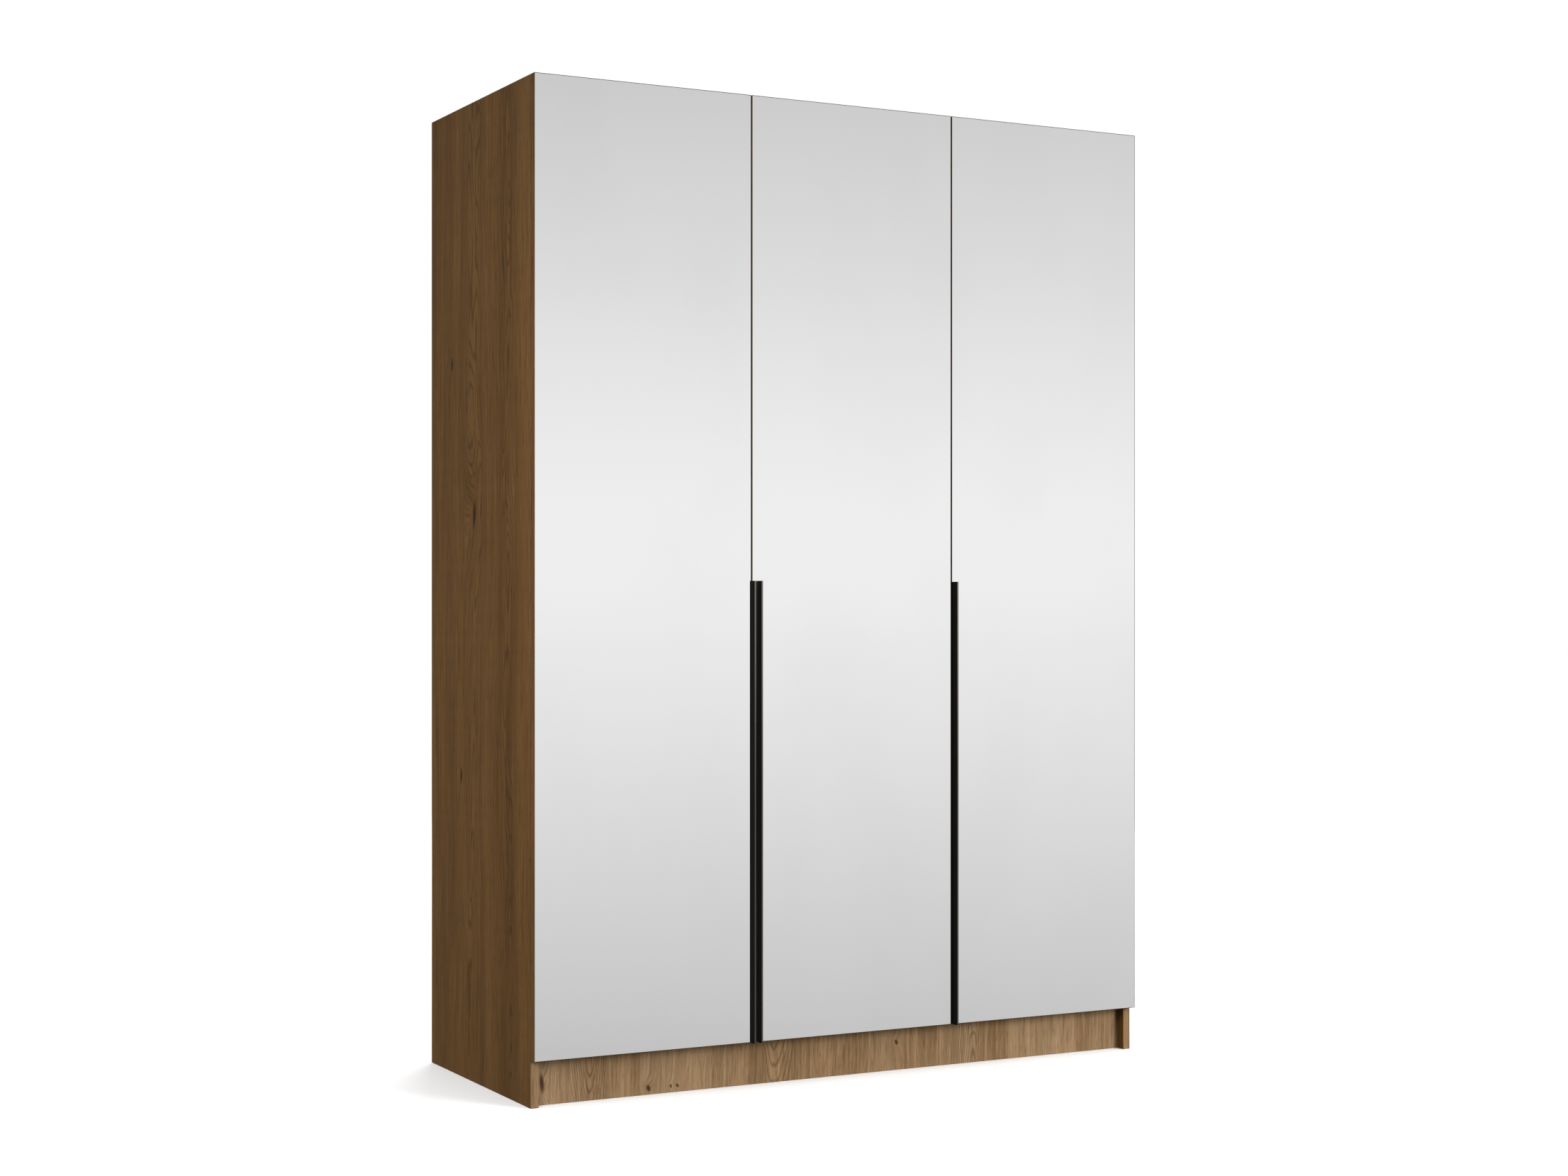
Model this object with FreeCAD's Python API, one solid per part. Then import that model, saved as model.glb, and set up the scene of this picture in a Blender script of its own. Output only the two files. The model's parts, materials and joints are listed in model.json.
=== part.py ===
import FreeCAD, Part
import os

# A free-standing wardrobe with three mirrored doors, in millimetres.
# The origin is on the floor, in the middle of the overall width and depth.
# +X is to the right of a person who faces the doors, +Y is towards the wall, +Z is up.

# ---- Driving dimensions: carcass ----
WIDTH = 1350.0
HEIGHT = 1900.0
CARCASS_DEPTH = 520.0
BOARD = 16.0
PLINTH_HEIGHT = 88.0
PLINTH_RECESS = 20.0
REAR_PLINTH_INSET = 20.0
SHEET = 3.0
SHEET_MARGIN = 3.0
SHEET_LIFT = 2.0
STRIP_FLANGE = 1.0
STRIP_WEB = 1.5
STRIP_WIDTH = 14.0
SHELF_SETBACK = 20.0
SHELF_REAR_GAP = 2.0
SHELF_END_GAP = 1.0
SHELF_PITCH = 288.0
SHELF_COUNT = 5
FIXED_SHELF = 3

# ---- Driving dimensions: doors ----
DOOR_COUNT = 3
DOOR_STANDOFF = 2.0
SEAM = 2.0
LEAF = 16.0
MIRROR = 3.0
EDGE_BAND = 1.0
HANDLE_REACH = 20.0
HANDLE_WALL = 3.0
HANDLE_LENGTH = 882.0
HANDLE_LIFT = 1.0
FINGER_CHANNEL = 10.0
HANDLE_SCREW_COUNT = 4

# ---- Driving dimensions: concealed hinges ----
HINGE_HEIGHTS = (188.0, 792.0, 1388.0, 1800.0)
CUP_RADIUS = 17.5
CUP_DEPTH = 11.0
CUP_WALL = 1.0
CUP_CENTRE = 22.5
CUP_RIM_RADIUS = 19.0
CUP_SCREW_OFFSET = 24.0
ARM_INNER = 19.0
ARM_OUTER = 28.0
ARM_TIP = 7.0
ARM_END = 82.0
ARM_HALF_HEIGHT = 6.5
PLATE_THICKNESS = 4.0
PLATE_LINE = 37.0
PLATE_SCREW_OFFSET = 16.0

# ---- Driving dimensions: fittings ----
CAM_RADIUS = 7.5
CAM_DEPTH = 12.5
CAM_SETBACK = 34.0
CAM_BOLT_RADIUS = 3.5
CAM_BOLT_GRIP = 11.0
CAM_BOLT_BITE = 4.0
DOWEL_RADIUS = 4.0
DOWEL_IN_BOARD = 20.0
DOWEL_IN_PANEL = 10.0
DOWEL_OFFSET = 32.0
JOINT_END_MARGIN = 70.0
PIN_RADIUS = 2.5
PIN_IN_PANEL = 8.0
PIN_REACH = 9.0
PIN_MARGIN = 50.0
PIN_ROW_PITCH = 32.0
RAIL_HEIGHT = 30.0
RAIL_THICKNESS = 15.0
RAIL_WALL = 1.2
RAIL_DROP = 60.0
SOCKET_WALL = 2.0
SOCKET_DEPTH = 14.0
BRACKET_X = 450.0
BRACKET_SIDE = 30.0
BRACKET_WIDTH = 40.0
BRACKET_WALL = 2.0
WALL_SCREW_RADIUS = 3.0
NAIL_SPACING = 150.0

# ---- Places worked out from the driving dimensions ----
overall_depth = CARCASS_DEPTH + DOOR_STANDOFF + LEAF + HANDLE_REACH
rear = overall_depth / 2
front_edge = rear - CARCASS_DEPTH
leaf_back = front_edge - DOOR_STANDOFF
mirror_back = leaf_back - (LEAF - MIRROR)
leaf_front = leaf_back - LEAF
sheet_back = rear - STRIP_FLANGE
sheet_front = sheet_back - SHEET
side_outer = WIDTH / 2
side_inner = side_outer - BOARD
door_width = (WIDTH - SEAM * (DOOR_COUNT - 1)) / DOOR_COUNT
partition_middle = WIDTH / 2 - door_width - SEAM / 2
partition_left = partition_middle - BOARD / 2
partition_right = partition_middle + BOARD / 2
floor_top = PLINTH_HEIGHT + BOARD
roof_bottom = HEIGHT - BOARD
hat_shelf_bottom = floor_top + SHELF_PITCH * SHELF_COUNT
shelf_front = front_edge + SHELF_SETBACK
shelf_rear = sheet_front - SHELF_REAR_GAP
wide_middle = (partition_left - side_inner) / 2

X_AXIS = FreeCAD.Vector(1, 0, 0)
Y_AXIS = FreeCAD.Vector(0, 1, 0)
Z_AXIS = FreeCAD.Vector(0, 0, 1)

boards = {}
bores = {}
groups = {}


def box(x0, x1, y0, y1, z0, z1):
    """A box between two opposite corners, given in either order."""
    low = FreeCAD.Vector(min(x0, x1), min(y0, y1), min(z0, z1))
    return Part.makeBox(abs(x1 - x0), abs(y1 - y0), abs(z1 - z0), low)


def rod(radius, start, direction, length):
    """A round bar from a start point along a direction."""
    return Part.makeCylinder(radius, length, start, direction)


def cone(radius_start, radius_end, start, direction, length):
    """A tapered round bar, such as a countersunk screw head."""
    return Part.makeCone(radius_start, radius_end, length, start, direction)


def add_board(name, *corners):
    """Start a board that fittings may bore later."""
    boards[name] = box(*corners)
    bores[name] = []


def add_to(group, shape):
    """Put one more fastener or fitting into a named group."""
    groups.setdefault(group, []).append(shape)


def fit_in(group, shape, *names):
    """Add a fitting to its group, and bore its own space out of the named boards."""
    add_to(group, shape)
    for name in names:
        bores[name].append(shape)


def countersunk_screw(point, direction, radius, length):
    """A countersunk screw whose flat head lies flush with point and goes along direction."""
    head = cone(2 * radius, radius, point, direction, radius)
    shank = rod(radius, point + direction * radius, direction, length - radius)
    return head.fuse(shank)


# ---- Carcass boards ----
def make_boards():
    """The panels, shelves, plinth boards and thin back sheets, before any boring."""
    for name, sign in (("side_panel_left", -1), ("side_panel_right", 1)):
        add_board(name, sign * side_outer, sign * side_inner, front_edge, sheet_front, 0, HEIGHT)
    add_board("top_panel", -side_inner, side_inner, front_edge, sheet_front, roof_bottom, HEIGHT)
    add_board("bottom_panel", -side_inner, side_inner, front_edge, sheet_front,
              PLINTH_HEIGHT, floor_top)
    add_board("partition", partition_left, partition_right, front_edge, sheet_front,
              floor_top, roof_bottom)
    plinth_front = front_edge + PLINTH_RECESS
    plinth_rear = sheet_front - REAR_PLINTH_INSET
    add_board("plinth_front", -side_inner, side_inner, plinth_front, plinth_front + BOARD,
              0, PLINTH_HEIGHT)
    add_board("plinth_rear", -side_inner, side_inner, plinth_rear - BOARD, plinth_rear,
              0, PLINTH_HEIGHT)
    add_board("plinth_support", partition_left, partition_right, plinth_front + BOARD,
              plinth_rear - BOARD, 0, PLINTH_HEIGHT)
    add_board("hat_shelf", -side_inner, partition_left, shelf_front, shelf_rear,
              hat_shelf_bottom, hat_shelf_bottom + BOARD)
    for number in range(1, SHELF_COUNT + 1):
        gap = 0 if number == FIXED_SHELF else SHELF_END_GAP
        bottom = floor_top + SHELF_PITCH * number
        add_board(f"shelf_{number}", partition_right + gap, side_inner - gap,
                  shelf_front, shelf_rear, bottom, bottom + BOARD)
    edge = side_outer - SHEET_MARGIN
    seams = (wide_middle - STRIP_WEB / 2, wide_middle + STRIP_WEB / 2,
             partition_middle - SEAM / 2, partition_middle + SEAM / 2)
    spans = {"back_sheet_left": (-edge, seams[0]), "back_sheet_middle": (seams[1], seams[2]),
             "back_sheet_right": (seams[3], edge)}
    for name, (start, end) in spans.items():
        add_board(name, start, end, sheet_front, sheet_back,
                  PLINTH_HEIGHT + SHEET_LIFT, HEIGHT - SHEET_LIFT)


def make_back_strip():
    """The H-section strip that joins the two back sheets behind the wide compartment."""
    middle = wide_middle
    bottom = floor_top + SHEET_LIFT
    top = roof_bottom - SHEET_LIFT
    web = box(middle - STRIP_WEB / 2, middle + STRIP_WEB / 2, sheet_front, sheet_back, bottom, top)
    flanges = [box(middle - STRIP_WIDTH / 2, middle + STRIP_WIDTH / 2, y, y + STRIP_FLANGE, bottom, top)
               for y in (sheet_front - STRIP_FLANGE, sheet_back)]
    return web.fuse(flanges)


# ---- Board joints ----
def join(board, panel, point, into, face):
    """One cam lock in board, opening on its face, with the bolt that it draws out of panel."""
    centre = point - into * CAM_SETBACK
    pocket = rod(CAM_RADIUS, centre + face * (BOARD / 2), face * -1, CAM_DEPTH)
    slot = box(-CAM_RADIUS, CAM_RADIUS, -0.8, 0.8, -0.8, 0.8)
    slot.Placement = FreeCAD.Placement(centre + face * (BOARD / 2), FreeCAD.Rotation(X_AXIS, into))
    bolt_start = centre + into * (CAM_RADIUS - CAM_BOLT_BITE)
    bolt_length = CAM_SETBACK - CAM_RADIUS + CAM_BOLT_BITE + CAM_BOLT_GRIP
    bolt = rod(CAM_BOLT_RADIUS, bolt_start, into, bolt_length)
    bores[board].append(pocket)
    add_to("cam_locks", pocket.cut([slot, bolt]))
    fit_in("cam_bolts", bolt, board, panel)


def dowel(board, panel, point, into):
    """One beech dowel across the joint between board and panel."""
    start = point - into * DOWEL_IN_BOARD
    fit_in("wooden_dowels", rod(DOWEL_RADIUS, start, into, DOWEL_IN_BOARD + DOWEL_IN_PANEL), board, panel)


def join_row(board, panel, start, end, into, face):
    """Two cam locks and two dowels along the edge from start to end."""
    run = end - start
    along = FreeCAD.Vector(run).normalize()
    for corner, inward in ((start, along), (end, along * -1)):
        cam_point = corner + inward * JOINT_END_MARGIN
        join(board, panel, cam_point, into, face)
        dowel(board, panel, cam_point + inward * DOWEL_OFFSET, into)


def joint_line(x, y_front, y_rear, z):
    """The two ends of a front-to-back joint line."""
    return FreeCAD.Vector(x, y_front, z), FreeCAD.Vector(x, y_rear, z)


def make_joints():
    """Cam locks and dowels for every fixed board of the carcass."""
    down = Z_AXIS * -1
    fixed_bottom = floor_top + SHELF_PITCH * FIXED_SHELF
    rows = (
        ("top_panel", -side_inner, side_inner, front_edge, sheet_front, roof_bottom, down,
         "side_panel_left", "side_panel_right"),
        ("bottom_panel", -side_inner, side_inner, front_edge, sheet_front, PLINTH_HEIGHT, down,
         "side_panel_left", "side_panel_right"),
        ("hat_shelf", -side_inner, partition_left, shelf_front, shelf_rear, hat_shelf_bottom, down,
         "side_panel_left", "partition"),
        (f"shelf_{FIXED_SHELF}", partition_right, side_inner, shelf_front, shelf_rear, fixed_bottom,
         down, "partition", "side_panel_right"),
    )
    for board, x_left, x_right, y_front, y_rear, bottom, face, left, right in rows:
        middle = bottom + BOARD / 2
        join_row(board, left, *joint_line(x_left, y_front, y_rear, middle), X_AXIS * -1, face)
        join_row(board, right, *joint_line(x_right, y_front, y_rear, middle), X_AXIS, face)
    ends = ((floor_top, Z_AXIS * -1, "bottom_panel"), (roof_bottom, Z_AXIS, "top_panel"))
    for height, into, panel in ends:
        line = joint_line(partition_middle, front_edge, sheet_front, height)
        join_row("partition", panel, *line, into, X_AXIS * -1)
    for name in ("plinth_front", "plinth_rear"):
        middle_y = boards[name].BoundBox.Center.y
        for height in (PLINTH_HEIGHT / 4, PLINTH_HEIGHT * 3 / 4):
            for sign, panel in ((-1, "side_panel_left"), (1, "side_panel_right")):
                point = FreeCAD.Vector(sign * side_inner, middle_y, height)
                dowel(name, panel, point, X_AXIS * sign)


def make_plinth_blocks():
    """Plastic corner blocks that hold the two plinth boards to the bottom panel."""
    side = 22.0
    screw_radius = 1.75
    for name, inward in (("plinth_front", 1), ("plinth_rear", -1)):
        bound = boards[name].BoundBox
        face_y = bound.YMax if inward > 0 else bound.YMin
        for x in (-side_inner * 0.6, 0.0, side_inner * 0.6):
            block = box(x - side / 2, x + side / 2, face_y, face_y + inward * side,
                        PLINTH_HEIGHT - side, PLINTH_HEIGHT)
            centre = FreeCAD.Vector(x, face_y + inward * side / 2, PLINTH_HEIGHT - side)
            upright = countersunk_screw(centre + X_AXIS * (side / 4), Z_AXIS, screw_radius, side + 12)
            centre = FreeCAD.Vector(x - side / 4, face_y + inward * side, PLINTH_HEIGHT - side / 2)
            level = countersunk_screw(centre, Y_AXIS * -inward, screw_radius, side + 12)
            fit_in("plinth_block_screws", upright, "bottom_panel")
            fit_in("plinth_block_screws", level, name)
            add_to("plinth_blocks", block.cut([upright, level]))


# ---- Shelf pins, hanging rail, wall brackets, nails and bumpers ----
def make_shelf_pins():
    """Pins under the loose shelves, each row with a spare hole above and below."""
    sides = (("partition", partition_right, X_AXIS), ("side_panel_right", side_inner, X_AXIS * -1))
    rows = (shelf_front + PIN_MARGIN, shelf_rear - PIN_MARGIN)
    for number in range(1, SHELF_COUNT + 1):
        if number == FIXED_SHELF:
            continue
        height = floor_top + SHELF_PITCH * number - PIN_RADIUS
        for panel, face_x, outward in sides:
            for y in rows:
                point = FreeCAD.Vector(face_x, y, height)
                start = point - outward * PIN_IN_PANEL
                pin = rod(PIN_RADIUS, start, outward, PIN_IN_PANEL + PIN_REACH)
                bores[panel].append(pin)
                reach_x = face_x + outward.x * PIN_REACH
                pad = box(face_x, reach_x, y - PIN_RADIUS, y + PIN_RADIUS, height, height + PIN_RADIUS)
                add_to("shelf_pins", pin.fuse(pad))
                for step in (-1, 1):
                    spare = start + Z_AXIS * (step * PIN_ROW_PITCH)
                    bores[panel].append(rod(PIN_RADIUS, spare, outward, PIN_IN_PANEL))


def oval_bar(x_start, x_end, middle_z, height, thickness):
    """A bar along X with an upright oval section: two straight sides and round ends."""
    radius = thickness / 2
    reach = height / 2 - radius
    middle = FreeCAD.Vector(x_start, 0, middle_z)
    top = middle + Z_AXIS * reach
    bottom = middle - Z_AXIS * reach
    side = Y_AXIS * radius
    edges = [
        Part.LineSegment(bottom - side, top - side).toShape(),
        Part.Arc(top - side, top + Z_AXIS * radius, top + side).toShape(),
        Part.LineSegment(top + side, bottom + side).toShape(),
        Part.Arc(bottom + side, bottom - Z_AXIS * radius, bottom - side).toShape(),
    ]
    return Part.Face(Part.Wire(edges)).extrude(X_AXIS * (x_end - x_start))


def make_rail():
    """The oval hanging rail and the two screwed sockets that carry its ends."""
    clearance = 1.0
    middle_z = hat_shelf_bottom - RAIL_DROP
    x_left = -side_inner + SOCKET_WALL + clearance
    x_right = partition_left - SOCKET_WALL - clearance
    outer = oval_bar(x_left, x_right, middle_z, RAIL_HEIGHT, RAIL_THICKNESS)
    inner = oval_bar(x_left, x_right, middle_z, RAIL_HEIGHT - 2 * RAIL_WALL,
                     RAIL_THICKNESS - 2 * RAIL_WALL)
    add_to("hanging_rail", outer.cut(inner))
    collar = 2 * SOCKET_WALL
    flange = 26.0
    screw_radius = 2.0
    for panel, face_x, sign in (("side_panel_left", -side_inner, 1), ("partition", partition_left, -1)):
        outward = X_AXIS * sign
        body = oval_bar(face_x, face_x + sign * SOCKET_DEPTH, middle_z,
                        RAIL_HEIGHT + collar, RAIL_THICKNESS + collar)
        plate = oval_bar(face_x, face_x + sign * SOCKET_WALL, middle_z,
                         RAIL_HEIGHT + collar + flange, RAIL_THICKNESS + collar)
        hollow = oval_bar(face_x + sign * SOCKET_WALL, face_x + sign * SOCKET_DEPTH, middle_z,
                          RAIL_HEIGHT, RAIL_THICKNESS)
        socket = body.fuse(plate).cut(hollow)
        for step in (-1, 1):
            height = middle_z + step * (RAIL_HEIGHT / 2 + flange / 3)
            point = FreeCAD.Vector(face_x, 0, height) + outward * SOCKET_WALL
            screw = countersunk_screw(point, outward * -1, screw_radius, SOCKET_WALL + 11)
            socket = socket.cut(screw)
            fit_in("rail_socket_screws", screw, panel)
        add_to("rail_sockets", socket)


def make_wall_brackets():
    """Steel angle brackets inside the top corners, for the screws that hold it to a wall."""
    screw_radius = 2.0
    for x in (-BRACKET_X, BRACKET_X):
        left = x - BRACKET_WIDTH / 2
        right = x + BRACKET_WIDTH / 2
        level = box(left, right, sheet_front - BRACKET_SIDE, sheet_front,
                    roof_bottom - BRACKET_WALL, roof_bottom)
        upright = box(left, right, sheet_front - BRACKET_WALL, sheet_front,
                      roof_bottom - BRACKET_SIDE, roof_bottom)
        bracket = level.fuse(upright)
        hole_z = roof_bottom - BRACKET_SIDE * 0.6
        through = FreeCAD.Vector(x, sheet_front - BRACKET_WALL, hole_z)
        bracket = bracket.cut(rod(WALL_SCREW_RADIUS, through, Y_AXIS, BRACKET_WALL))
        sheet_hole = FreeCAD.Vector(x, sheet_front, hole_z)
        sheet = "back_sheet_left" if x < 0 else "back_sheet_right"
        bores[sheet].append(rod(WALL_SCREW_RADIUS + 1, sheet_hole, Y_AXIS, SHEET))
        for step in (-1, 1):
            point = FreeCAD.Vector(x + step * BRACKET_WIDTH / 4, sheet_front - BRACKET_SIDE * 0.6,
                                   roof_bottom - BRACKET_WALL)
            screw = countersunk_screw(point, Z_AXIS, screw_radius, 13)
            bracket = bracket.cut(screw)
            fit_in("wall_bracket_screws", screw, "top_panel")
        add_to("wall_brackets", bracket)


def spaced(start, end, spacing):
    """Evenly spaced values from start to end, no further apart than spacing."""
    count = int(abs(end - start) // spacing) + 1
    return [start + (end - start) * step / count for step in range(count + 1)]


def make_nails():
    """Flat-headed nails through the back sheets into the rear edges of the boards."""
    head_radius = 2.0
    head = 0.6
    shank_radius = 0.7
    shank = 14.0
    margin = 20.0
    bottom = PLINTH_HEIGHT + BOARD / 2
    top = HEIGHT - BOARD / 2
    side_x = side_outer - BOARD / 2
    points = [(x, z) for x in (-side_x, side_x) for z in spaced(bottom + margin, top - margin, NAIL_SPACING)]
    points += [(partition_middle + step * BOARD / 4, z) for step in (-1, 1)
               for z in spaced(bottom + margin, top - margin, NAIL_SPACING)]
    spans = ((-side_x + margin, wide_middle - margin), (wide_middle + margin, partition_left - margin),
             (partition_right + margin, side_x - margin))
    points += [(x, z) for span in spans for z in (bottom, top) for x in spaced(*span, NAIL_SPACING)]
    for x, z in points:
        start = FreeCAD.Vector(x, sheet_back, z)
        nail = rod(head_radius, start, Y_AXIS, head).fuse(rod(shank_radius, start, Y_AXIS * -1, shank))
        add_to("back_sheet_nails", nail)


def make_bumpers():
    """Clear pads on the front edges that each door closes against, near its free edge."""
    radius = 4.0
    thickness = DOOR_STANDOFF - 0.4
    inset = 30.0
    for left, right, hinge in doors():
        x = right - inset if hinge < 0 else left + inset
        for z in (PLINTH_HEIGHT + BOARD / 2, HEIGHT - BOARD / 2):
            point = FreeCAD.Vector(x, front_edge - thickness, z)
            add_to("door_bumpers", rod(radius, point, Y_AXIS, thickness))


# ---- Doors ----
def doors():
    """Left edge, right edge and hinged side (-1 left, 1 right) of each door."""
    lefts = [-side_outer + number * (door_width + SEAM) for number in range(DOOR_COUNT)]
    return [(left, left + door_width, hinge) for left, hinge in zip(lefts, (-1, 1, 1))]


def handle_profile(edge_x, inward, channel):
    """A handle rail: a leg let into the door's edge and a blade that stands out in front.

    With a channel, a flat strip on the mirror carries the blade that far in from the edge.
    """
    bottom = PLINTH_HEIGHT + HANDLE_LIFT
    top = bottom + HANDLE_LENGTH
    front = leaf_front - HANDLE_REACH
    leg = box(edge_x, edge_x + inward * HANDLE_WALL, leaf_front, leaf_back, bottom, top)
    blade_x = edge_x + inward * channel
    blade = box(blade_x, blade_x + inward * HANDLE_WALL, front, leaf_front, bottom, top)
    if not channel:
        return leg, leg.fuse(blade).removeSplitter()
    strip = box(edge_x, blade_x + inward * HANDLE_WALL, leaf_front - HANDLE_WALL, leaf_front, bottom, top)
    return leg, leg.fuse([strip, blade]).removeSplitter()


def make_door(number, left, right, hinge):
    """One door leaf: board, mirror, edge band, handle rail and hinge cups."""
    name = f"door_{number}"
    bottom = PLINTH_HEIGHT
    outer = box(left, right, leaf_front, leaf_back, bottom, HEIGHT)
    inner_span = (left + EDGE_BAND, right - EDGE_BAND)
    inner_rise = (bottom + EDGE_BAND, HEIGHT - EDGE_BAND)
    core = box(*inner_span, leaf_front, leaf_back, *inner_rise)
    board = box(*inner_span, mirror_back, leaf_back, *inner_rise)
    mirror = box(*inner_span, leaf_front, mirror_back, *inner_rise)
    free_edge, inward = (right, -1) if hinge < 0 else (left, 1)
    channel = FINGER_CHANNEL if number == 2 else 0.0
    leg, handle = handle_profile(free_edge, inward, channel)
    band = outer.cut([core, leg])
    board_bores = [leg]
    screw_radius = 1.75
    leg_bottom = bottom + HANDLE_LIFT
    for step in range(HANDLE_SCREW_COUNT):
        height = leg_bottom + HANDLE_LENGTH * (step + 0.5) / HANDLE_SCREW_COUNT
        point = FreeCAD.Vector(free_edge, (mirror_back + leaf_back) / 2, height)
        screw = countersunk_screw(point, X_AXIS * inward, screw_radius, 18)
        add_to(f"{name}_handle_screws", screw)
        board_bores.append(screw)
        handle = handle.cut(screw)
    hinge_edge, reach = (left, 1) if hinge < 0 else (right, -1)
    for height in HINGE_HEIGHTS:
        centre = FreeCAD.Vector(hinge_edge + reach * CUP_CENTRE, leaf_back, height)
        board_bores.append(rod(CUP_RADIUS, centre, Y_AXIS * -1, CUP_DEPTH))
        cup, screws = hinge_cup(centre, reach)
        board_bores += screws
        add_to(f"{name}_hinge_cups", cup)
        for screw in screws:
            add_to(f"{name}_cup_screws", screw)
    groups[f"{name}_board"] = [board.cut(board_bores)]
    groups[f"{name}_mirror"] = [mirror.cut(leg)]
    groups[f"{name}_edge_band"] = band.Solids
    groups[f"{name}_handle"] = [handle]


def hinge_cup(centre, reach):
    """A pressed hinge cup with its screwed rim, cross pin and link knuckle, and its screws."""
    screw_radius = 1.75
    wing_half_width = 7.0
    rim = rod(CUP_RIM_RADIUS, centre, Y_AXIS, CUP_WALL)
    for step in (-1, 1):
        rim = rim.fuse(rod(wing_half_width, centre + Z_AXIS * (step * CUP_SCREW_OFFSET), Y_AXIS, CUP_WALL))
    web = box(centre.x - wing_half_width, centre.x + wing_half_width, centre.y, centre.y + CUP_WALL,
              centre.z - CUP_SCREW_OFFSET, centre.z + CUP_SCREW_OFFSET)
    shell = rod(CUP_RADIUS, centre, Y_AXIS * -1, CUP_DEPTH)
    hollow_start = centre + Y_AXIS * CUP_WALL
    hollow = rod(CUP_RADIUS - CUP_WALL, hollow_start, Y_AXIS * -1, CUP_DEPTH)
    pin_centre = FreeCAD.Vector(centre.x - reach * 11.5, centre.y - 5.0, centre.z)
    half_pin = (CUP_RADIUS - CUP_WALL) * 0.7
    pin = rod(1.5, pin_centre - Z_AXIS * half_pin, Z_AXIS, 2 * half_pin)
    knuckle = rod(3.0, pin_centre - Z_AXIS * 5.0, Z_AXIS, 10.0)
    cup = rim.fuse([web, shell]).cut(hollow).fuse([pin, knuckle])
    screws = [countersunk_screw(centre + Z_AXIS * (step * CUP_SCREW_OFFSET) + Y_AXIS * CUP_WALL,
                                Y_AXIS * -1, screw_radius, 11) for step in (-1, 1)]
    return cup.cut(screws), screws


def make_hinge_arms(number, left, right, hinge):
    """The hinge arms and mounting plates of one door, screwed to the board beside it."""
    edge, reach = (left, 1) if hinge < 0 else (right, -1)
    panels = {1: ("side_panel_left", -side_inner), 2: ("partition", partition_left),
              3: ("side_panel_right", side_inner)}
    panel, face_x = panels[number]
    face = abs(face_x - edge)
    base_inner = face + PLATE_THICKNESS
    base_outer = base_inner + ARM_OUTER - ARM_INNER
    neck_start = LEAF + DOOR_STANDOFF + 6.0
    neck_end = neck_start + 12.0
    outline = [(ARM_INNER, ARM_TIP), (ARM_OUTER, ARM_TIP), (ARM_OUTER, neck_start), (base_outer, neck_end),
               (base_outer, ARM_END), (base_inner, ARM_END), (base_inner, neck_end),
               (ARM_INNER, neck_start)]
    plate_y = front_edge + PLATE_LINE
    adjuster_y = (leaf_front + neck_end + plate_y) / 2
    for height in HINGE_HEIGHTS:
        points = [FreeCAD.Vector(edge + reach * u, leaf_front + v, height - ARM_HALF_HEIGHT)
                  for u, v in outline]
        arm = Part.Face(Part.makePolygon(points + points[:1])).extrude(Z_AXIS * (2 * ARM_HALF_HEIGHT))
        arm = round_upright_edges(arm, edge + reach * ARM_OUTER, leaf_front + ARM_TIP)
        for y in (adjuster_y, plate_y):
            point = FreeCAD.Vector(edge + reach * base_outer, y, height)
            screw = rod(3.0, point, X_AXIS * reach, 1.5).fuse(rod(2.0, point, X_AXIS * -reach, 6.0))
            arm = arm.cut(screw)
            add_to("hinge_adjusting_screws", screw)
        add_to(f"door_{number}_hinge_arms", arm)
        plate = box(face_x, face_x + reach * PLATE_THICKNESS, plate_y - 14.0, plate_y + 14.0,
                    height - ARM_HALF_HEIGHT, height + ARM_HALF_HEIGHT)
        wings = box(face_x, face_x + reach * PLATE_THICKNESS / 2, plate_y - 6.0, plate_y + 6.0,
                    height - PLATE_SCREW_OFFSET - 8.0, height + PLATE_SCREW_OFFSET + 8.0)
        plate = plate.fuse(wings)
        for step in (-1, 1):
            point = FreeCAD.Vector(face_x + reach * PLATE_THICKNESS / 2, plate_y,
                                   height + step * PLATE_SCREW_OFFSET)
            screw = countersunk_screw(point, X_AXIS * -reach, 2.0, 12)
            plate = plate.cut(screw)
            fit_in("mounting_plate_screws", screw, panel)
        add_to(f"door_{number}_mounting_plates", plate)


def round_upright_edges(arm, x, y):
    """Round the upright edge of an arm's tip at a place in plan."""
    edges = [edge for edge in arm.Edges
             if all(abs(v.X - x) < 0.01 and abs(v.Y - y) < 0.01 for v in edge.Vertexes)]
    return arm.makeFillet(3.0, edges)


def write_parts():
    """Bore the boards and write every named piece to its own file."""
    os.makedirs("parts", exist_ok=True)
    for name, shape in boards.items():
        finished = shape.cut(bores[name]) if bores[name] else shape
        finished.exportStep(f"parts/{name}.step")
    for name, solids in groups.items():
        shape = solids[0] if len(solids) == 1 else Part.makeCompound(solids)
        shape.exportStep(f"parts/{name}.step")


make_boards()
groups["back_joint_strip"] = [make_back_strip()]
make_joints()
make_plinth_blocks()
make_shelf_pins()
make_rail()
make_wall_brackets()
make_nails()
make_bumpers()
for number, (left, right, hinge) in enumerate(doors(), start=1):
    make_door(number, left, right, hinge)
    make_hinge_arms(number, left, right, hinge)
write_parts()
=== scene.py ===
import json
import math

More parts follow.
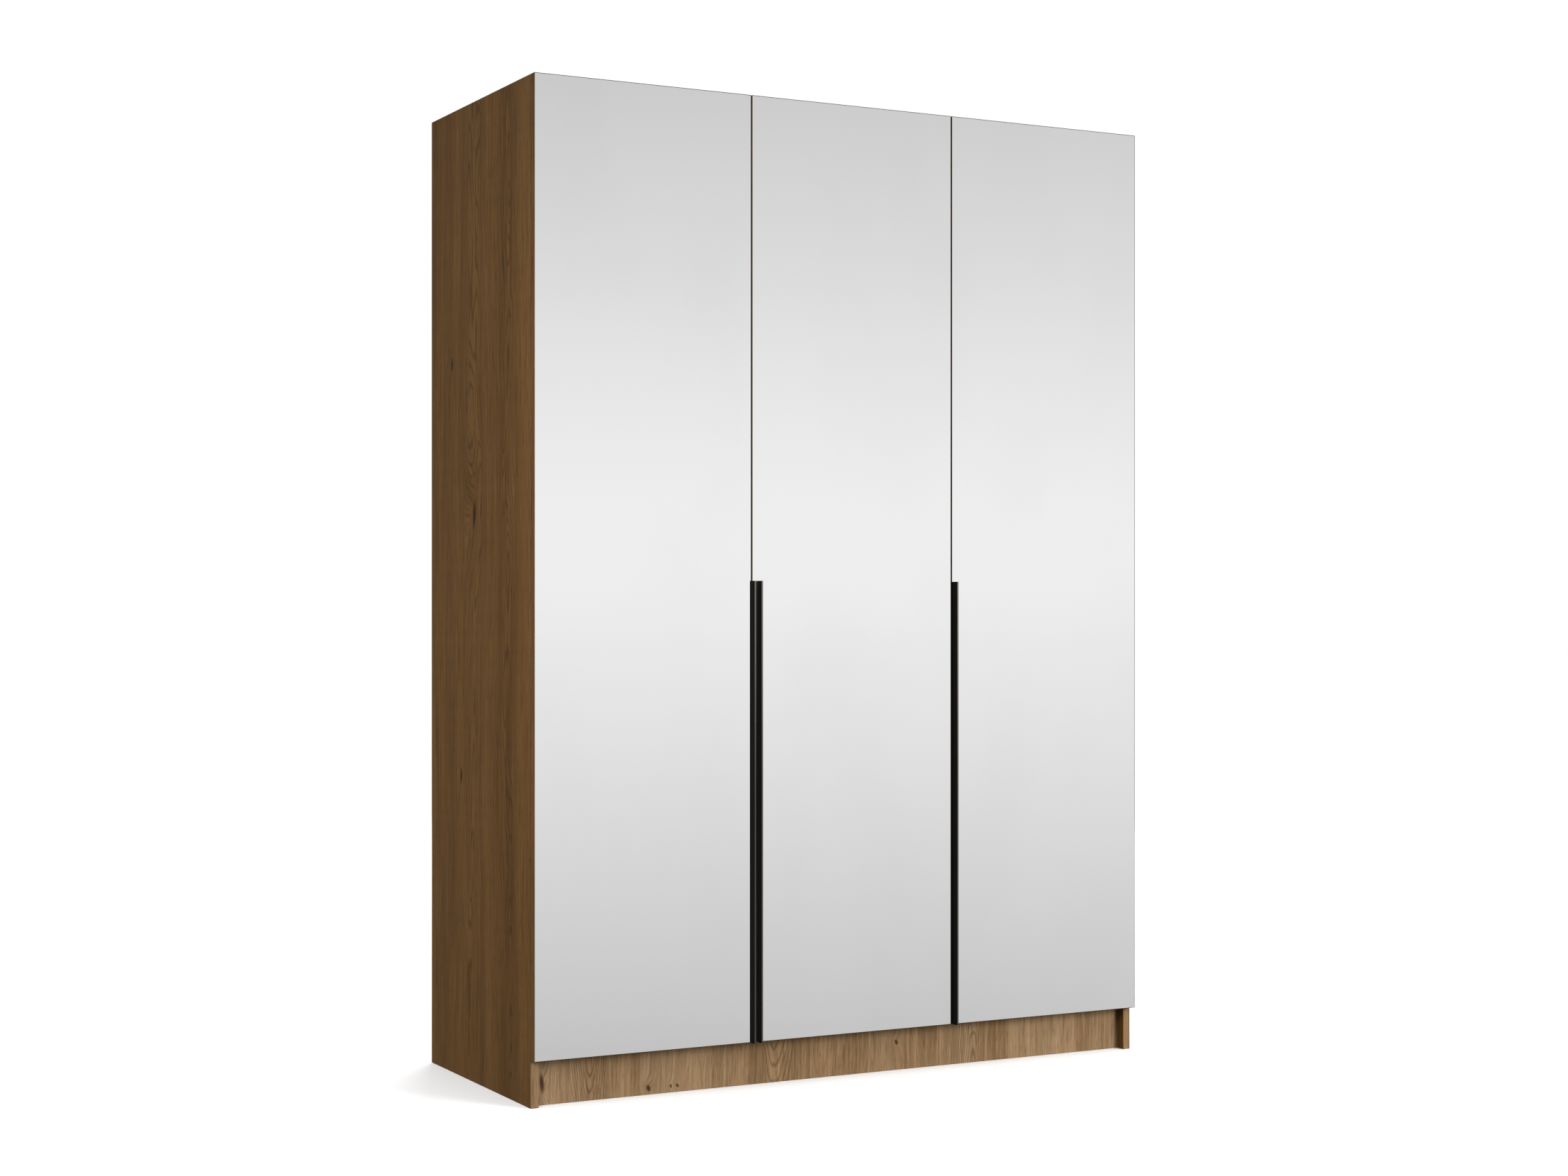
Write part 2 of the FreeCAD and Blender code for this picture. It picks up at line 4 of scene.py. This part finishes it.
import bmesh
import bpy
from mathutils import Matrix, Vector


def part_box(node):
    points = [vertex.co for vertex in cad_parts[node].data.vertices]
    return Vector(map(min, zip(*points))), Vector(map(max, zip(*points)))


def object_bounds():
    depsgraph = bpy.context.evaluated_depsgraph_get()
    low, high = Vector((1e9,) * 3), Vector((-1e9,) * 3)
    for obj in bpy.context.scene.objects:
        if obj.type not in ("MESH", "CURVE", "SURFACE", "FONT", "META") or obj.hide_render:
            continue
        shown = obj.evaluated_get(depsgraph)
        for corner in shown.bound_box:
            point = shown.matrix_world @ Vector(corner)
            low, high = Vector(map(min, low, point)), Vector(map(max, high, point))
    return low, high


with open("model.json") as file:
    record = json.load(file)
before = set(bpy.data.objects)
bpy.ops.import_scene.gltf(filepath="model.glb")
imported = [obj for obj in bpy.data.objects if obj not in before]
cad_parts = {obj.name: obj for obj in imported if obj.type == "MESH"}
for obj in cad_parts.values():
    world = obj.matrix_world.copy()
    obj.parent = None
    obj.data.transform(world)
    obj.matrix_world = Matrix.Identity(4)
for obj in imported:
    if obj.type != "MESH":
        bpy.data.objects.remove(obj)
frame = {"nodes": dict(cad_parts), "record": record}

cad_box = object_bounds()
nodes = frame["nodes"]

# ---- Camera and floor: metres and degrees, with the lens and sensor in millimetres ----
CAMERA_PLACE = (-2.428, -4.431, 0.927)
CAMERA_TURN = 27.05
LENS = 56.63
SHIFT_X = 0.0421
SHIFT_Y = 0.0101
SENSOR = 36.0
FLOOR_SIZE = 60.0
FLOOR_DROP = 0.0005

# ---- Studio lights: place, edge length in metres, power in watts ----
KEY_LIGHT = ((2.8, -4.8, 1.6), 2.4, 360.0)
REAR_LIGHT = ((2.2, 4.6, 2.4), 2.4, 170.0)
FILL_LIGHT = ((-1.7, -1.4, 1.1), 0.5, 12.0)

# ---- Studio walls ----
# Boards get light that grows from AMBIENT_LOW at the horizon to AMBIENT_HIGH overhead. Mirrors
# show HORIZON_GLOW, as (angle above the horizon, display level), and REAR_GLOW of it from behind.
AMBIENT_LOW = 0.08
AMBIENT_HIGH = 1.34
REAR_GLOW = 0.5
HORIZON_GLOW = (
    (-90.0, 155),
    (-10.4, 200),
    (-5.7, 218),
    (-1.0, 240),
    (1.6, 245),
    (4.5, 237),
    (7.4, 226),
    (12.2, 205),
    (40.0, 186),
    (90.0, 176),
)


def linear(level):
    """Linear light for a display level from 0 to 255."""
    value = level / 255.0
    return value / 12.92 if value <= 0.04045 else ((value + 0.055) / 1.055) ** 2.4


def tone(red, green, blue):
    """A linear colour with alpha from three display levels."""
    return (linear(red), linear(green), linear(blue), 1.0)


# ---- Wood: dark, middle and light tones ----
OAK = (tone(106, 72, 32), tone(122, 85, 41), tone(146, 108, 58))
# Painted light: the same oak printed paler, for the plinth and for faces that look to the front, as
# if lit from the front.
FRONT_LIT_OAK = (tone(112, 86, 58), tone(138, 110, 79), tone(166, 141, 110))
# Painted shade: the same oak printed darker on the door boards' faces that look to the front,
# around the mirrors.
DOOR_FRONT_SHADE_OAK = (tone(60, 48, 30), tone(72, 58, 38), tone(86, 70, 48))
BEECH = (tone(190, 158, 118), tone(202, 172, 132), tone(214, 186, 148))
OAK_LINE = tone(66, 43, 20)
OAK_PORE = tone(44, 28, 13)

# ---- Grain ----
# Staves are STAVE_WIDTH wide and the grain wanders by GRAIN_DRIFT, in metres. A knot leans by
# KNOT_SLANT and pushes the grain aside by up to KNOT_BEND of its half widths, which dies away
# faster with a larger KNOT_FADE. ARCH_COUNT is how many arches follow each other along the noise,
# ARCH_SIDES how steep their sides are, and ARCH_RAGGED how rough their lines are.
STAVE_WIDTH = 0.083
GRAIN_DRIFT = 0.05
KNOT_SLANT = 0.35
KNOT_FADE = 0.22
KNOT_BEND = 2.2
ARCH_COUNT = 26.0
ARCH_SIDES = 6.0
ARCH_RAGGED = 0.7

# ---- How squarely a face has to look to the front or the wall, from 0 to 1 ----
FACING_START = 0.6
FACING_FULL = 0.9


# ---- A short way to write node trees ----
class Tree:
    """Adds and links nodes in one material or world."""

    def __init__(self, owner):
        owner.use_nodes = True
        self.tree = owner.node_tree
        self.tree.nodes.clear()

    def add(self, kind, inputs=None, **settings):
        """One node, with its inputs set to values or linked to other nodes' outputs."""
        node = self.tree.nodes.new(kind)
        for name, value in settings.items():
            setattr(node, name, value)
        for key, value in (inputs or {}).items():
            self.feed(node.inputs[key], value)
        return node

    def feed(self, socket, value):
        """Link an output to a socket, or set the socket's own value."""
        if isinstance(value, bpy.types.NodeSocket):
            self.tree.links.new(value, socket)
        else:
            socket.default_value = value

    def math(self, operation, first, second=0.0):
        """One sum, as an output."""
        return self.add("ShaderNodeMath", {0: first, 1: second}, operation=operation).outputs[0]

    def smooth(self, value, low, high, start=0.0, end=1.0):
        """A smooth step from start to end as value goes from low to high."""
        node = self.add("ShaderNodeMapRange", {0: value, 1: low, 2: high, 3: start, 4: end},
                        interpolation_type="SMOOTHSTEP")
        return node.outputs[0]

    def vector(self, x, y, z):
        """A vector from its three parts."""
        return self.add("ShaderNodeCombineXYZ", {0: x, 1: y, 2: z}).outputs[0]

    def parts(self, vector):
        """The three parts of a vector."""
        return self.add("ShaderNodeSeparateXYZ", {0: vector}).outputs

    def own(self, kind):
        """One kind of texture coordinate: Object for places, Normal for the way a face looks."""
        return self.add("ShaderNodeTexCoord").outputs[kind]

    def front(self):
        """1 on faces that look to the front, and 0 on the others."""
        return self.smooth(self.parts(self.own("Normal"))[1], -FACING_START, -FACING_FULL)

    def rear(self):
        """1 on faces that look to the wall, and 0 on the others."""
        return self.smooth(self.parts(self.own("Normal"))[1], FACING_START, FACING_FULL)

    def noise(self, vector, scale, detail=3.0, roughness=0.55):
        """Noise between about 0 and 1."""
        node = self.add("ShaderNodeTexNoise", {"Vector": vector, "Scale": scale, "Detail": detail,
                                               "Roughness": roughness})
        return node.outputs["Fac"]

    def mix(self, factor, first, second, blend="MIX"):
        """One colour mixed into another."""
        node = self.add("ShaderNodeMix", {0: factor, 6: first, 7: second}, data_type="RGBA",
                        blend_type=blend)
        return node.outputs[2]

    def lay(self, base, paint, mask, strength):
        """A colour laid over another where a mask is 1, at part of its strength."""
        return self.mix(self.math("MULTIPLY", mask, strength), base, paint)

    def scaled(self, vector, scale):
        """A vector scaled along each axis."""
        return self.add("ShaderNodeMapping", {"Vector": vector, "Scale": scale}).outputs[0]

    def grain(self, across, along, detail=3.0, roughness=0.55):
        """Noise with one scale across the upright and one along it."""
        place = self.scaled(self.own("Object"), (across, across, along))
        return self.noise(place, 1.0, detail, roughness)

    def cloud(self, scale, detail=3.0, roughness=0.55):
        """Noise of one scale all ways."""
        return self.noise(self.own("Object"), scale, detail, roughness)

    def bump(self, height, strength, distance, normal=None):
        """A normal bent by a height."""
        inputs = {"Height": height, "Strength": strength, "Distance": distance}
        if normal is not None:
            inputs["Normal"] = normal
        return self.add("ShaderNodeBump", inputs).outputs[0]

    def rounded(self, radius):
        """A normal that rounds sharp edges."""
        return self.add("ShaderNodeBevel", {"Radius": radius}, samples=4).outputs[0]

    def finish(self, **inputs):
        """The surface shader and the output."""
        shader = self.add("ShaderNodeBsdfPrincipled",
                          {name.replace("_", " "): value for name, value in inputs.items()})
        self.add("ShaderNodeOutputMaterial", {"Surface": shader.outputs[0]})


def new_material(name):
    """An empty material and the tree that fills it."""
    material = bpy.data.materials.new(name)
    return material, Tree(material)


# ---- Materials ----
def lay_knots(tree, across, run, knots):
    """How far knots push the grain aside, and a mask of their dark hearts."""
    bend = 0.0
    hearts = 0.0
    for knot_across, knot_along, half_width, half_length, heart_share in knots:
        aside = tree.math("DIVIDE", tree.math("SUBTRACT", across, knot_across), half_width)
        above = tree.math("DIVIDE", tree.math("SUBTRACT", run, knot_along), half_length)
        slant = tree.math("ADD", aside, tree.math("MULTIPLY", above, KNOT_SLANT))
        squared = tree.math("ADD", tree.math("MULTIPLY", slant, slant),
                            tree.math("MULTIPLY", above, above))
        near = tree.math("POWER", math.e, tree.math("MULTIPLY", squared, -KNOT_FADE))
        bend = tree.math("ADD", bend, tree.math("MULTIPLY", near, half_width * KNOT_BEND))
        heart = tree.smooth(squared, 0.0, heart_share ** 2, 1.0, 0.0)
        hearts = tree.math("MAXIMUM", hearts, heart)
    return bend, hearts


def lay_arches(tree, warped, rise, ragged, figures):
    """A mask of the dark lines in each column of nested arches."""
    arches = 0.0
    for middle, half_width in figures:
        offset = tree.math("SUBTRACT", warped, middle + GRAIN_DRIFT / 2)
        aside = tree.math("DIVIDE", offset, half_width)
        bow = tree.math("MULTIPLY", tree.math("MULTIPLY", aside, aside), ARCH_SIDES)
        phase = tree.math("ADD", tree.math("ADD", bow, rise), ragged)
        line = tree.smooth(tree.math("PINGPONG", phase, 0.5), 0.27, 0.47)
        reach = tree.smooth(tree.math("ABSOLUTE", aside), 1.5, 0.7)
        arches = tree.math("MAXIMUM", arches, tree.math("MULTIPLY", line, reach))
    return arches


def oak(name, along, tones, front_light_and_shade_tones, figures=(), knots=(), shift=0.0):
    """Printed oak decor with its grain along one axis (0, 1 or 2). Faces that look to the front get
    their own tones: paler ones are painted light, darker ones painted shade.

    Places across the grain are the sum of the coordinates on the two other axes. A figure is
    (place across, half width): a column of nested arches. A knot is (place across, place along,
    half width, half length, share of its size taken by the dark heart).
    """
    material, tree = new_material(name)
    # Faces that look to the front take the second set of tones: paler ones are painted light,
    # darker ones painted shade.
    front = tree.front()
    dark_tone, middle_tone, light_tone = [tree.mix(front, plain, front_shading)
                                          for plain, front_shading in zip(tones, front_light_and_shade_tones)]
    parts = tree.parts(tree.own("Object"))
    run = parts[along]
    first, second = [parts[axis] for axis in (0, 1, 2) if axis != along]
    across = tree.math("ADD", first, second)
    bend, hearts = lay_knots(tree, across, run, knots)
    lift = tree.vector(tree.math("MULTIPLY", across, 2.0), run, shift)
    drift = tree.math("MULTIPLY", tree.noise(lift, 1.6, 2.0), GRAIN_DRIFT)
    warped = tree.math("ADD", tree.math("ADD", across, bend), drift)
    grain = tree.vector(warped, run, shift)

    def layer(wide, long, detail, roughness=0.55):
        """Noise with its own scale across and along the grain."""
        return tree.noise(tree.scaled(grain, (wide, long, 1.0)), 1.0, detail, roughness)

    planks = layer(7.0, 0.3, 1.0)
    broad = layer(24.0, 1.1, 2.0)
    streak = layer(170.0, 4.0, 4.0, 0.7)
    fine = layer(720.0, 14.0, 2.0, 0.6)
    pores = tree.smooth(layer(1050.0, 34.0, 1.0, 0.5), 0.38, 0.28)
    stave_number = tree.math("FLOOR", tree.math("DIVIDE", across, STAVE_WIDTH))
    stave = tree.add("ShaderNodeTexWhiteNoise", {"W": stave_number},
                     noise_dimensions="1D").outputs["Value"]
    wander = tree.vector(tree.math("MULTIPLY", across, 5.0), run, shift + 3.0)
    rise = tree.math("MULTIPLY", tree.noise(wander, 2.1, 1.5, 0.45), ARCH_COUNT)
    ragged = tree.math("MULTIPLY", layer(60.0, 16.0, 2.0, 0.6), ARCH_RAGGED)
    arches = lay_arches(tree, warped, rise, ragged, figures)

    colour = tree.mix(tree.smooth(broad, 0.32, 0.68), dark_tone, middle_tone)
    for paint, mask, strength in (
            (light_tone, tree.smooth(stave, 0.3, 0.9), 0.3),
            (dark_tone, tree.smooth(stave, 0.4, 0.0), 0.22),
            (light_tone, tree.smooth(planks, 0.42, 0.68), 0.3),
            (light_tone, tree.smooth(streak, 0.5, 0.68), 0.42),
            (OAK_LINE, tree.smooth(streak, 0.48, 0.32), 0.3),
            (OAK_LINE, arches, 0.5),
            (OAK_LINE, tree.smooth(fine, 0.52, 0.3), 0.5),
            (OAK_PORE, pores, 0.55),
            (OAK_PORE, hearts, 0.9),
    ):
        colour = tree.lay(colour, paint, mask, strength)
    height = tree.math("SUBTRACT", tree.math("MULTIPLY", fine, 0.5), pores)
    height = tree.math("SUBTRACT", height, tree.math("MULTIPLY", arches, 0.3))
    rough = tree.smooth(streak, 0.3, 0.7, 0.66, 0.54)
    normal = tree.bump(height, 0.25, 0.0002, tree.rounded(0.0005))
    tree.finish(Base_Color=colour, Roughness=rough, Normal=normal, Specular_IOR_Level=0.15)
    return material


def mirror():
    """Silvered glass on the front, dark green glass at the cut edges and grey paint on the back."""
    material, tree = new_material("mirror")
    smears = tree.noise(tree.scaled(tree.own("Object"), (1.0, 1.0, 0.5)), 5.0, 3.0, 0.5)
    front = tree.front()
    silver = tree.mix(tree.smooth(smears, 0.4, 0.7), tone(250, 250, 250), tone(248, 248, 249))
    cut = tree.mix(smears, tone(26, 32, 24), tone(40, 46, 36))
    paint = tree.mix(smears, tone(120, 122, 124), tone(134, 136, 138))
    colour = tree.mix(front, tree.mix(tree.rear(), cut, paint), silver)
    smeared = tree.smooth(smears, 0.35, 0.75, 0.0, 0.012)
    rough = tree.math("ADD", smeared, tree.smooth(front, 0.0, 1.0, 0.3, 0.01))
    tree.finish(Base_Color=colour, Metallic=front, Roughness=rough,
                Normal=tree.bump(smears, 0.02, 0.0002))
    return material


def black_aluminium():
    """Matt black anodised profile with fine drawing lines, and a grey highlight painted on the lip
    at the front.

    The painted highlight is paler towards its top, as painted light from above.
    """
    material, tree = new_material("black_aluminium")
    height = tree.parts(tree.own("Object"))[2]
    lines = tree.grain(900.0, 3.0, 2.0)
    # Painted highlight: a grey that is paler towards the top, as painted light from above.
    painted_highlight = tree.mix(tree.smooth(height, 0.55, 0.97), tone(62, 60, 58), tone(92, 90, 87))
    black = tree.mix(tree.cloud(40.0), tone(17, 15, 12), tone(24, 22, 18))
    # The painted highlight is laid on faces that look to the front.
    colour = tree.lay(black, painted_highlight, tree.front(), tree.smooth(lines, 0.1, 0.5, 0.8, 1.0))
    rough = tree.smooth(lines, 0.3, 0.7, 0.4, 0.52)
    normal = tree.bump(lines, 0.12, 0.0001, tree.rounded(0.0005))
    tree.finish(Base_Color=colour, Roughness=rough, Normal=normal, Specular_IOR_Level=0.02)
    return material


def plated_steel(name, light, dark, base_rough):
    """Plated steel with a faint grain and a little tarnish."""
    material, tree = new_material(name)
    grain = tree.grain(260.0, 60.0)
    colour = tree.mix(tree.smooth(tree.cloud(60.0, 4.0), 0.4, 0.7), light, dark)
    rough = tree.smooth(grain, 0.3, 0.7, base_rough, base_rough + 0.12)
    normal = tree.bump(grain, 0.1, 0.0001, tree.rounded(0.0004))
    tree.finish(Base_Color=colour, Metallic=1.0, Roughness=rough, Normal=normal)
    return material


def plastic(name, light, dark, base_rough):
    """Moulded plastic with a fine eggshell grain."""
    material, tree = new_material(name)
    eggshell = tree.cloud(1500.0, 2.0)
    colour = tree.mix(tree.cloud(30.0, 2.0), light, dark)
    rough = tree.smooth(eggshell, 0.3, 0.7, base_rough, base_rough + 0.1)
    normal = tree.bump(eggshell, 0.2, 0.0001, tree.rounded(0.0004))
    tree.finish(Base_Color=colour, Roughness=rough, Normal=normal)
    return material


def hardboard():
    """Thin back sheet: printed decor towards the room, raw pressed fibre towards the wall."""
    material, tree = new_material("hardboard")
    wall_side = tree.rear()
    streak = tree.grain(210.0, 5.0, 4.0, 0.7)
    decor = tree.mix(tree.smooth(tree.grain(18.0, 1.2, 2.0), 0.35, 0.65), OAK[0], OAK[1])
    decor = tree.lay(decor, OAK[2], tree.smooth(streak, 0.5, 0.68), 0.4)
    decor = tree.lay(decor, OAK_LINE, tree.smooth(streak, 0.48, 0.32), 0.35)
    decor = tree.lay(decor, OAK_LINE, tree.smooth(tree.grain(760.0, 15.0, 2.0), 0.5, 0.3), 0.6)
    fibre = tree.cloud(420.0, 4.0, 0.7)
    raw = tree.mix(tree.smooth(fibre, 0.35, 0.7), tone(104, 74, 48), tone(138, 104, 72))
    raw = tree.lay(raw, tone(92, 66, 44), tree.smooth(tree.cloud(6.0), 0.4, 0.7), 0.35)
    colour = tree.mix(wall_side, decor, raw)
    height = tree.mix(wall_side, streak, fibre)
    tree.finish(Base_Color=colour, Roughness=tree.smooth(fibre, 0.3, 0.7, 0.62, 0.8),
                Normal=tree.bump(height, 0.25, 0.0002), Specular_IOR_Level=0.3)
    return material


def dress(names, material):
    """Give CAD nodes one material."""
    for name in names:
        data = nodes[name].data
        data.materials.clear()
        data.materials.append(material)
        for face in data.polygons:
            face.material_index = 0


def nodes_by_slot():
    """The names of the CAD nodes in each material slot of the record."""
    slots = {}
    for part in frame["record"]["subparts"]:
        slots.setdefault(part["material_slot"], []).append(part["node"])
    return slots


def dress_fittings(slots):
    """Finishes for everything that isn't a board."""
    dress(slots["mirror_glass"], mirror())
    dress(slots["black_aluminium"], black_aluminium())
    # The mirrors in the picture don't show the handle rails.
    for name in slots["black_aluminium"]:
        nodes[name].visible_glossy = False
    nickel = plated_steel("nickel", tone(196, 194, 190), tone(168, 166, 160), 0.24)
    zinc = plated_steel("zinc", tone(178, 180, 182), tone(150, 150, 148), 0.34)
    chrome = plated_steel("chrome", tone(222, 223, 225), tone(206, 207, 210), 0.08)
    dress(slots["nickel_steel"], nickel)
    dress(slots["zinc_steel"], zinc)
    dress(slots["chrome_tube"], chrome)
    brown = plastic("brown_plastic", tone(112, 82, 54), tone(98, 70, 46), 0.45)
    clear = plastic("clear_rubber", tone(206, 206, 200), tone(190, 190, 184), 0.3)
    dress(slots["brown_plastic"], brown)
    dress(slots["clear_rubber"], clear)
    dress(slots["beech"], oak("beech", 0, BEECH, BEECH))
    dress(slots["hardboard"], hardboard())


def dress_boards(boards):
    """Oak for the boards, each with its own figure, and level grain for those left over."""
    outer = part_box("side_panel_left")[0].x
    side_figures = [(outer - 0.128, 0.045), (outer + 0.045, 0.05)]
    side_knots = [
        (outer + 0.04, 1.10, 0.020, 0.070, 0.5),
        (outer + 0.16, 1.40, 0.006, 0.018, 1.0),
        (outer + 0.11, 0.59, 0.006, 0.020, 1.0),
    ]
    # The boards' faces that look to the front take the paler tones, painted light.
    left = oak("oak_side_left", 2, OAK, FRONT_LIT_OAK, side_figures, side_knots)
    dress(["side_panel_left"], left)

    right_figures = [(-outer - 0.1, 0.05), (-outer + 0.12, 0.04)]
    right = oak("oak_side_right", 2, OAK, FRONT_LIT_OAK, right_figures, (), 3.7)
    dress(["side_panel_right"], right)

    partition_figures = [(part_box("partition")[0].x + 0.05, 0.05)]
    partition = oak("oak_partition", 2, OAK, FRONT_LIT_OAK, partition_figures, (), 6.1)
    dress(["partition"], partition)

    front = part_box("plinth_front")[0].y
    plinth_figures = [(front - 0.55, 0.035), (front - 0.15, 0.04), (front + 0.3, 0.05)]
    plinth_knots = [
        (front - 0.644, 0.040, 0.006, 0.024, 1.0),
        (front - 0.426, 0.012, 0.006, 0.009, 1.0),
        (front - 0.379, 0.012, 0.003, 0.005, 1.0),
        (front - 0.365, 0.012, 0.004, 0.005, 1.0),
        (front + 0.120, 0.055, 0.005, 0.007, 1.0),
    ]
    # The plinth takes the paler tones on all its faces: painted light, as if lit from the front.
    plinth = oak("oak_plinth", 2, FRONT_LIT_OAK, FRONT_LIT_OAK, plinth_figures, plinth_knots, 1.9)
    dress(["plinth_front"], plinth)

    doors = [name for name in boards if name.startswith("door_")]
    door_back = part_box("door_1_board")[1].y
    door_figures = [(door_back + x, 0.05) for x in (-0.5, -0.1, 0.42)]
    # The door boards' faces that look to the front take darker tones: painted shade around the
    # mirrors.
    dress(doors, oak("oak_doors", 2, OAK, DOOR_FRONT_SHADE_OAK, door_figures, (), 8.3))

    done = {"side_panel_left", "side_panel_right", "partition", "plinth_front", *doors}
    level = [name for name in boards if name not in done]
    dress(level, oak("oak_level", 0, OAK, FRONT_LIT_OAK, (), (), 11.2))


# ---- Stage ----
def add_floor():
    """A plain pale floor under the wardrobe, which neither mirrors nor boards pick up."""
    mesh = bmesh.new()
    bmesh.ops.create_grid(mesh, x_segments=8, y_segments=8, size=FLOOR_SIZE / 2)
    data = bpy.data.meshes.new("floor")
    mesh.to_mesh(data)
    mesh.free()
    floor = bpy.data.objects.new("floor", data)
    floor.location = (0.0, 0.0, -FLOOR_DROP)
    floor.visible_glossy = False
    floor.visible_diffuse = False
    bpy.context.scene.collection.objects.link(floor)
    material, tree = new_material("floor")
    colour = tree.mix(tree.cloud(90.0), tone(251, 251, 251), tone(254, 254, 254))
    tree.finish(Base_Color=colour, Roughness=0.9, Specular_IOR_Level=0.1,
                Emission_Color=tone(255, 255, 255), Emission_Strength=0.05)
    data.materials.append(material)


def add_softbox(name, settings, aim):
    """One square soft light that mirrors don't show."""
    place, size, power = settings
    data = bpy.data.lights.new(name, "AREA")
    data.shape = "SQUARE"
    data.size = size
    data.energy = power
    light = bpy.data.objects.new(name, data)
    light.location = place
    light.rotation_euler = (Vector(aim) - Vector(place)).to_track_quat("-Z", "Y").to_euler()
    light.visible_glossy = False
    light.visible_camera = False
    bpy.context.scene.collection.objects.link(light)


def add_world():
    """A white studio: plain white behind, and a soft glow at eye level for the mirrors."""
    world = bpy.data.worlds.new("studio")
    bpy.context.scene.world = world
    tree = Tree(world)
    sides = tree.parts(tree.own("Generated"))
    share = tree.add("ShaderNodeMath", {0: sides[2], 1: 0.5, 2: 0.5}, operation="MULTIPLY_ADD")
    ramp = tree.add("ShaderNodeValToRGB", {0: share.outputs[0]})
    ramp.color_ramp.interpolation = "B_SPLINE"
    stops = ramp.color_ramp.elements
    while len(stops) < len(HORIZON_GLOW):
        stops.new(1.0)
    for stop, (angle, level) in zip(stops, HORIZON_GLOW):
        stop.position = 0.5 + 0.5 * math.sin(math.radians(angle))
        stop.color = tone(level, level, level)
    front = tree.smooth(sides[1], 0.25, -0.25, REAR_GLOW, 1.0)
    glow = tree.mix(1.0, ramp.outputs[0], front, "MULTIPLY")
    soft = tree.smooth(sides[2], 0.0, 0.9, AMBIENT_LOW, AMBIENT_HIGH)
    path = tree.add("ShaderNodeLightPath")
    light = tree.mix(path.outputs["Is Glossy Ray"], soft, glow)
    seen = tree.mix(path.outputs["Is Camera Ray"], light, (1.0, 1.0, 1.0, 1.0))
    background = tree.add("ShaderNodeBackground", {"Color": seen, "Strength": 1.0})
    tree.add("ShaderNodeOutputWorld", {"Surface": background.outputs[0]})


def add_camera():
    """A level camera to the left of the wardrobe, at about half its height."""
    data = bpy.data.cameras.new("camera")
    data.lens = LENS
    data.sensor_width = SENSOR
    data.shift_x = SHIFT_X
    data.shift_y = SHIFT_Y
    data.clip_end = FLOOR_SIZE * 2
    camera = bpy.data.objects.new("camera", data)
    camera.location = CAMERA_PLACE
    camera.rotation_euler = (math.radians(90.0), 0.0, math.radians(-CAMERA_TURN))
    bpy.context.scene.collection.objects.link(camera)
    bpy.context.scene.camera = camera


def add_lights():
    """A key at the front right, a weaker light behind and a small one by the left side."""
    low, high = cad_box
    middle = (low.z + high.z) / 2
    add_softbox("key", KEY_LIGHT, (0.0, 0.0, middle))
    add_softbox("rear", REAR_LIGHT, (0.0, 0.0, middle))
    add_softbox("fill", FILL_LIGHT, (low.x, 0.0, middle))


slots = nodes_by_slot()
add_camera()
add_world()
add_lights()
add_floor()
dress_fittings(slots)
dress_boards(slots["oak_decor_board"])
bpy.context.scene.view_settings.view_transform = "Standard"
